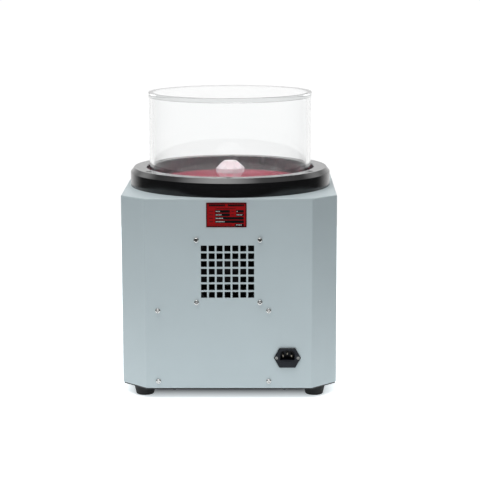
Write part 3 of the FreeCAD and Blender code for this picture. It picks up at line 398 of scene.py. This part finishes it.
# =====================================================================================================
# Mesh helpers
# =====================================================================================================
def place(mesh_or_bmesh, name, body, material, smooth=None):
    """Makes the object for a mesh, on its body. Edges sharper than smooth, in degrees, stay sharp."""
    mesh = mesh_or_bmesh
    if isinstance(mesh_or_bmesh, bmesh.types.BMesh):
        mesh = bpy.data.meshes.new(name)
        bmesh.ops.recalc_face_normals(mesh_or_bmesh, faces=mesh_or_bmesh.faces)
        mesh_or_bmesh.to_mesh(mesh)
        mesh_or_bmesh.free()
    if smooth is not None:
        mesh.shade_smooth()
        mesh.set_sharp_from_angle(angle=math.radians(smooth))
    mesh.materials.append(material)
    piece = bpy.data.objects.new(name, mesh)
    bpy.context.scene.collection.objects.link(piece)
    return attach(piece, body)


def radii(node):
    """A round node's smallest and largest radius about the Z axis."""
    distances = [v.co.xy.length for v in frame["nodes"][node].data.vertices]
    return min(distances), max(distances)


def rounded(outline, radius, steps=4):
    """Rounds every corner of an outline of (radius, height) points that isn't on the axis.

    A point just outside each rounding keeps the flat faces' shading flat.
    """
    made = []
    corners = [Vector(p) for p in outline]
    for k, here in enumerate(corners):
        if here.x < 1e-6:
            made.append(here)
            continue
        back = (corners[k - 1] - here).normalized()
        ahead = (corners[(k + 1) % len(corners)] - here).normalized()
        start, end = here + back * radius, here + ahead * radius
        made.append(start + back * HOLD)
        for step in range(steps + 1):
            t = step / steps
            made.append(start * (1 - t) ** 2 + here * 2 * t * (1 - t) + end * t**2)
        made.append(end + ahead * HOLD)
    return made


def lathe(outline):
    """Turns a closed outline of (radius, height) points about the Z axis into a closed mesh."""
    made = bmesh.new()
    turns = [2 * math.pi * k / SEGMENTS for k in range(SEGMENTS)]
    rings = []
    for point in outline:
        if point.x < 1e-6:
            rings.append([made.verts.new((0, 0, point.y))])
        else:
            ring = [(point.x * math.cos(a), point.x * math.sin(a), point.y) for a in turns]
            rings.append([made.verts.new(p) for p in ring])
    for low, high in zip(rings, rings[1:] + rings[:1]):
        for k in range(SEGMENTS):
            after = (k + 1) % SEGMENTS
            below = [low[k % len(low)], low[after % len(low)]]
            above = [high[after % len(high)], high[k % len(high)]]
            corners = list(dict.fromkeys(below + above))
            if len(corners) > 2:
                made.faces.new(corners)
    return made


def bar(made, frame_matrix, centre, size, thickness=INK):
    """Adds a thin bar with cut corners to a mesh, flat on the XY plane of a matrix."""
    half_w, half_h = size[0] / 2, size[1] / 2
    nip = min(half_w, half_h) * 0.3
    corners = []
    for sx, sy in ((1, 1), (-1, 1), (-1, -1), (1, -1)):
        pair = [(sx * half_w, sy * (half_h - nip)), (sx * (half_w - nip), sy * half_h)]
        corners += pair if sx * sy > 0 else pair[::-1]
    levels = []
    for height in (0.0, thickness):
        points = [frame_matrix @ Vector((centre[0] + x, centre[1] + y, height)) for x, y in corners]
        levels.append([made.verts.new(p) for p in points])
    made.faces.new(levels[0][::-1])
    made.faces.new(levels[1])
    for k in range(len(corners)):
        after = (k + 1) % len(corners)
        made.faces.new([levels[0][k], levels[0][after], levels[1][after], levels[1][k]])


def facing(origin, out):
    """A matrix whose X runs to the right as seen from outside, Y up and Z out of a vertical wall."""
    right = Vector((0, 0, 1)).cross(out)
    turn = Matrix((right, Vector((0, 0, 1)), out)).transposed().to_4x4()
    return Matrix.Translation(origin) @ turn


def numeral(value, matrix, height):
    """A plain number as a thin raised mesh, centred on a matrix."""
    curve = bpy.data.curves.new(f"numeral_{value}", "FONT")
    curve.body = str(value)
    curve.size = height
    curve.align_x = "CENTER"
    curve.align_y = "CENTER"
    curve.extrude = INK / 2
    holder = bpy.data.objects.new(curve.name, curve)
    bpy.context.scene.collection.objects.link(holder)
    bpy.context.view_layer.update()
    mesh = bpy.data.meshes.new_from_object(holder)
    bpy.data.objects.remove(holder)
    mesh.transform(matrix @ Matrix.Translation((0, 0, INK / 2)))
    return mesh


# =====================================================================================================
# Clear pieces
# =====================================================================================================
def clear_drum(look):
    """The drum as it is glued: a tube with a thicker disc on its end, one clear solid with eased edges."""
    low, tube_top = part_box("drum_tube")[0].z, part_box("drum_tube")[1].z
    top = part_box("drum_end_plate")[1].z
    inner, outer = radii("drum_tube")
    plate = radii("drum_end_plate")[1]
    outline = rounded(
        [
            (inner, low + GLASS_GAP),
            (outer, low + GLASS_GAP),
            (outer, tube_top),
            (plate, tube_top),
            (plate, top),
            (0, top),
            (0, tube_top),
            (inner, tube_top),
        ],
        GLASS_EDGE,
    )
    piece = place(lathe(outline), "drum_clear", "drum", look["clear_acrylic"].material, 40)
    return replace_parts(piece, "drum_tube", "drum_end_plate")


def clear_lid(look):
    """The lid's stepped disc, a hair's breadth clear of the knob, the drum and the floor that touch it."""
    low, high = (corner.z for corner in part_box("lid_plate"))
    rim = radii("lid_plate")[1]
    step_z = low + LID_STEP
    spigot = radii("drum_tube")[0] - SPIGOT_CLEARANCE
    bottom, top = low + GLASS_GAP, high - GLASS_GAP
    outline = [(0, bottom), (spigot, bottom), (spigot, step_z), (rim, step_z), (rim, top), (0, top)]
    disc = lathe(rounded(outline, GLASS_EDGE))
    piece = place(disc, "lid_clear", "lid", look["clear_acrylic"].material, 40)
    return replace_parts(piece, "lid_plate")


# =====================================================================================================
# Rating plate: plain bars where the real one is printed
# =====================================================================================================
def rating_print(look):
    """Border, headings, rows of dark fields with pale dashes, and a foot line, all of them plain bars."""
    low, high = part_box("rating_plate")
    width, height = (high.x - low.x) / MM, (high.z - low.z) / MM
    sheet = facing(Vector((high.x, high.y, high.z)), Vector((0, 1, 0)))
    dark, pale = bmesh.new(), bmesh.new()

    def mark(made, left, right, middle, tall, lift=INK):
        bar(made, sheet, ((left + right) / 2 * MM, -middle * MM), ((right - left) * MM, tall * MM), lift)

    def run(made, left, middle, count, stroke, lift=INK):
        long, gap, tall = stroke
        for k in range(count):
            start = left + k * (long + gap)
            mark(made, start, start + long, middle, tall, lift)

    for middle in (PLATE_INSET + PLATE_LINE / 2, height - PLATE_INSET - PLATE_LINE / 2):
        mark(dark, PLATE_INSET, width - PLATE_INSET, middle, PLATE_LINE)
    for left in (PLATE_INSET, width - PLATE_INSET - PLATE_LINE):
        mark(dark, left, left + PLATE_LINE, height / 2, height - 2 * (PLATE_INSET + PLATE_LINE))
    for left, middle in HEADING_PLACES:
        run(dark, left, middle, 10, HEADING_STROKE)
    run(dark, *SUBHEADING_PLACE, 18, SUBHEADING_STROKE)

    field_end = width - FIELD_MARGIN
    for row in range(ROWS):
        middle = FIRST_ROW + ROW_PITCH * row
        split = row < SPLIT_ROWS
        run(dark, LABEL_LEFT, middle, 4, LABEL_STROKE)
        mark(dark, FIELD_LEFT, FIELD_SPLIT if split else field_end, middle, FIELD_HEIGHT)
        run(pale, FIELD_LEFT + DASH_INSET, middle, 3 + row, DASH_STROKE, 2 * INK)
        if split:
            run(dark, SECOND_LABEL_LEFT, middle, 3, LABEL_STROKE)
            mark(dark, SECOND_FIELD_LEFT, field_end, middle, FIELD_HEIGHT)
            run(pale, SECOND_FIELD_LEFT + DASH_INSET, middle, 1 + 3 * row, DASH_STROKE, 2 * INK)

    foot = height - FOOT_LINE
    run(dark, LABEL_LEFT, foot, 20, FOOT_STROKE)
    mark(dark, FOOT_BOX[0], field_end, foot, FOOT_BOX[1])
    run(pale, FOOT_DASH_LEFT, foot, 4, FOOT_DASH_STROKE, 2 * INK)
    place(dark, "rating_fields", "housing", look["plate_dark"].material)
    place(pale, "rating_dashes", "housing", look["plate_pale"].material)


# =====================================================================================================
# Front panel: scales, switch marks and pointers
# =====================================================================================================
def dial_scale(look, node, name, low_turn, high_turn, steps, values):
    """Ticks on the panel round a knob, with plain numbers at even steps."""
    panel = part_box("control_panel")[0]
    low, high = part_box(node)
    middle = Vector(((low.x + high.x) / 2, panel.y, (low.z + high.z) / 2))
    reach = (high.x - low.x) / 2
    ticks = bmesh.new()
    for k in range(steps + 1):
        turn = math.radians(low_turn + (high_turn - low_turn) * k / steps)
        major = k * (len(values) - 1) % steps == 0
        spin = facing(middle, Vector((0, -1, 0))) @ Matrix.Rotation(-turn, 4, "Z")
        tick = MAJOR_TICK if major else MINOR_TICK
        bar(ticks, spin, (0, reach + TICK_GAP + tick[1] / 2), tick)
    place(ticks, name + "_ticks", "housing", look["panel_ink"].material)
    for k, value in enumerate(values):
        turn = math.radians(low_turn + (high_turn - low_turn) * k / (len(values) - 1))
        radius = reach + NUMBER_GAP
        offset = Vector((math.sin(turn) * radius, 0, math.cos(turn) * radius))
        mesh = numeral(value, facing(middle + offset, Vector((0, -1, 0))), NUMBER_HEIGHT)
        place(mesh, f"{name}_number_{value}", "housing", look["panel_ink"].material)


def knob_pointer(look, node, body, lowest):
    """White paint along the bottom of a knob's groove, from near its middle to its rim."""
    low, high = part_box(node)
    middle = Vector(((low.x + high.x) / 2, low.y + POINTER_LIFT, (low.z + high.z) / 2))
    spin = facing(middle, Vector((0, -1, 0))) @ Matrix.Rotation(math.radians(lowest), 4, "Z")
    made = bmesh.new()
    bar(made, spin, (0, POINTER_MIDDLE), POINTER_SIZE)
    place(made, node + "_pointer", body, look["panel_ink"].material)


def rocker_marks(look, node, body, tilt):
    """A short line at the top and a small ring at the bottom, on the rocker's two slopes."""
    low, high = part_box(node)
    panel_low, panel_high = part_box("control_panel")
    middle_z = (panel_low.z + panel_high.z) / 2
    pivot = Vector(((low.x + high.x) / 2, panel_low.y + ROCKER_PIVOT_DEPTH, middle_z))
    rest = Matrix.Translation(pivot) @ Matrix.Rotation(math.radians(tilt), 4, "X")
    made = bmesh.new()
    for end in (1, -1):
        centre = Vector((0, -ROCKER_MARK_OUT, end * ROCKER_MARK_UP))
        out = Vector((0, -math.cos(ROCKER_SLOPE), -end * math.sin(ROCKER_SLOPE)))
        up = Vector((0, -end * math.sin(ROCKER_SLOPE), math.cos(ROCKER_SLOPE)))
        turn = Matrix((up.cross(out), up, out)).transposed().to_4x4()
        sheet = rest @ Matrix.Translation(centre) @ turn
        if end > 0:
            bar(made, sheet, (0, 0), ROCKER_LINE)
            continue
        for k in range(ROCKER_RING_BARS):
            spin = sheet @ Matrix.Rotation(2 * math.pi * k / ROCKER_RING_BARS, 4, "Z")
            bar(made, spin, (0, ROCKER_RING_R), ROCKER_RING_BAR)
    place(made, node + "_marks", body, look["panel_ink"].material)


def panel_frame_line(look):
    """A thin printed line along the panel's top and another along its bottom."""
    low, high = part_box("control_panel")
    sheet = facing(Vector(((low.x + high.x) / 2, low.y, (low.z + high.z) / 2)), Vector((0, -1, 0)))
    half_w = (high.x - low.x) / 2 - PANEL_LINE_INSET[0]
    half_h = (high.z - low.z) / 2 - PANEL_LINE_INSET[1]
    made = bmesh.new()
    for side in (-1, 1):
        bar(made, sheet, (0, side * half_h), (2 * half_w, PANEL_LINE_WIDTH))
    place(made, "panel_lines", "housing", look["panel_ink"].material)


# =====================================================================================================
# Studio
# =====================================================================================================
def studio_floor():
    """A white sheet round the object. Past its edges, the world is as white to the camera."""
    made = bmesh.new()
    left, right = TABLE_X
    front, rear = TABLE_Y
    corners = ((left, front, 0), (right, front, 0), (right, rear, 0), (left, rear, 0))
    made.faces.new([made.verts.new(p) for p in corners])
    mesh = bpy.data.meshes.new("floor")
    made.to_mesh(mesh)
    made.free()
    mesh.materials.append(light_table().material)
    floor = bpy.data.objects.new("floor", mesh)
    bpy.context.scene.collection.objects.link(floor)


def soft_box(name, at, aim, size, glow):
    """An elliptical lamp whose face has this radiance in the middle and fades to nothing at the rim."""
    light = bpy.data.lights.new(name, "AREA")
    light.shape = "ELLIPSE"
    light.size, light.size_y = size
    light.energy = glow * math.pi * (math.pi / 4 * size[0] * size[1])
    light.use_nodes = True
    nodes, links = light.node_tree.nodes, light.node_tree.links
    reach = nodes.new("ShaderNodeVectorMath")
    reach.operation = "DISTANCE"
    reach.inputs[1].default_value = (0.5, 0.5, 0.0)
    links.new(nodes.new("ShaderNodeNewGeometry").outputs["Parametric"], reach.inputs[0])
    fade = nodes.new("ShaderNodeMapRange")
    for socket, value in zip(RAMP_SOCKETS, LAMP_FADE):
        fade.inputs[socket].default_value = value
    links.new(reach.outputs["Value"], fade.inputs["Value"])
    links.new(fade.outputs["Result"], nodes["Emission"].inputs["Strength"])
    holder = bpy.data.objects.new(name, light)
    bpy.context.scene.collection.objects.link(holder)
    holder.location = at
    holder.rotation_mode = "QUATERNION"
    holder.rotation_quaternion = (Vector(aim) - Vector(at)).to_track_quat("-Z", "Y")


def studio_world():
    """White to the camera and through clear plastic. As light, it is the backdrop and the ceiling."""
    world = bpy.data.worlds.new("studio")
    world.use_nodes = True
    nodes, links = world.node_tree.nodes, world.node_tree.links
    way = nodes.new("ShaderNodeSeparateXYZ")
    links.new(nodes.new("ShaderNodeTexCoord").outputs["Generated"], way.inputs["Vector"])

    def ramp(axis, span):
        node = nodes.new("ShaderNodeMapRange")
        node.interpolation_type = "SMOOTHSTEP"
        for socket, value in zip(RAMP_SOCKETS, span):
            node.inputs[socket].default_value = value
        links.new(way.outputs[axis], node.inputs["Value"])
        return node.outputs["Result"]

    def brighter(first, second):
        node = nodes.new("ShaderNodeMath")
        node.operation = "MAXIMUM"
        links.new(first, node.inputs[0])
        links.new(second, node.inputs[1])
        return node.outputs["Value"]

    light = brighter(ramp("Y", BACKDROP), ramp("Z", CEILING))
    path = nodes.new("ShaderNodeLightPath")
    seen = brighter(path.outputs["Is Camera Ray"], path.outputs["Is Transmission Ray"])
    links.new(brighter(light, seen), nodes["Background"].inputs["Strength"])
    nodes["Background"].inputs["Color"].default_value = (1.0, 1.0, 1.0, 1.0)
    bpy.context.scene.world = world


def studio():
    studio_floor()
    studio_world()
    soft_box("overhead", at=(0.35, 0.92, 2.5), aim=(0, 0.1, 0.3), size=(3.4, 2.3), glow=4.5)
    for side in (-1, 1):
        soft_box("side", at=(side * 2.2, -1.3, 1.3), aim=(0, 0, 0.25), size=(1.6, 1.9), glow=2.2)
    scene = bpy.context.scene
    scene.view_settings.view_transform = "Standard"
    scene.view_settings.look = "None"
    scene.cycles.blur_glossy = 0.0


def camera():
    data = bpy.data.cameras.new("camera")
    data.lens = CAMERA_LENS
    data.sensor_width = SENSOR
    holder = bpy.data.objects.new("camera", data)
    bpy.context.scene.collection.objects.link(holder)
    turn = Matrix.Rotation(math.pi + CAMERA_PAN, 4, "Z")
    turn = turn @ Matrix.Rotation(math.pi / 2 - CAMERA_PITCH, 4, "X") @ Matrix.Rotation(CAMERA_ROLL, 4, "Z")
    holder.matrix_world = Matrix.Translation(CAMERA_PLACE) @ turn
    bpy.context.scene.camera = holder


def main():
    look = finishes()
    look["plate_dark"] = printed("plate_dark", (0.004, 0.006, 0.007), 0.30, Specular_IOR_Level=0.08)
    look["plate_pale"] = printed("plate_pale", (0.55, 0.56, 0.55), 0.45)
    look["cut_crystal"] = cut_crystal()
    look["dull_zinc"] = machined("dull_zinc", (0.26, 0.26, 0.25), 0.34, (1.0, 1.0, 1.0), 0.2 * MM)
    # The fan is set darker than the other black plastic: painted shade behind the vent.
    look["fan_painted_shade"] = moulded("fan_painted_shade", (0.0035, 0.0035, 0.0040), 0.62, Specular_IOR_Level=0.15)
    look["panel_ink"] = printed("panel_ink", (0.80, 0.80, 0.78), 0.50)
    camera()
    studio()
    dress_frame(look)
    clear_drum(look)
    clear_lid(look)
    rating_print(look)
    dial_scale(look, "timer_knob", "timer", -150, 150, 30, [0, 10, 20, 30, 40, 50, 60])
    dial_scale(look, "speed_knob", "speed", -135, 135, 20, [0, 2, 4, 6, 8, 10])
    knob_pointer(look, "timer_knob", "timer_knob", 150)
    knob_pointer(look, "speed_knob", "speed_knob", 135)
    rocker_marks(look, "power_rocker", "power_rocker", -10)
    rocker_marks(look, "direction_rocker", "direction_rocker", 0)
    panel_frame_line(look)


main()
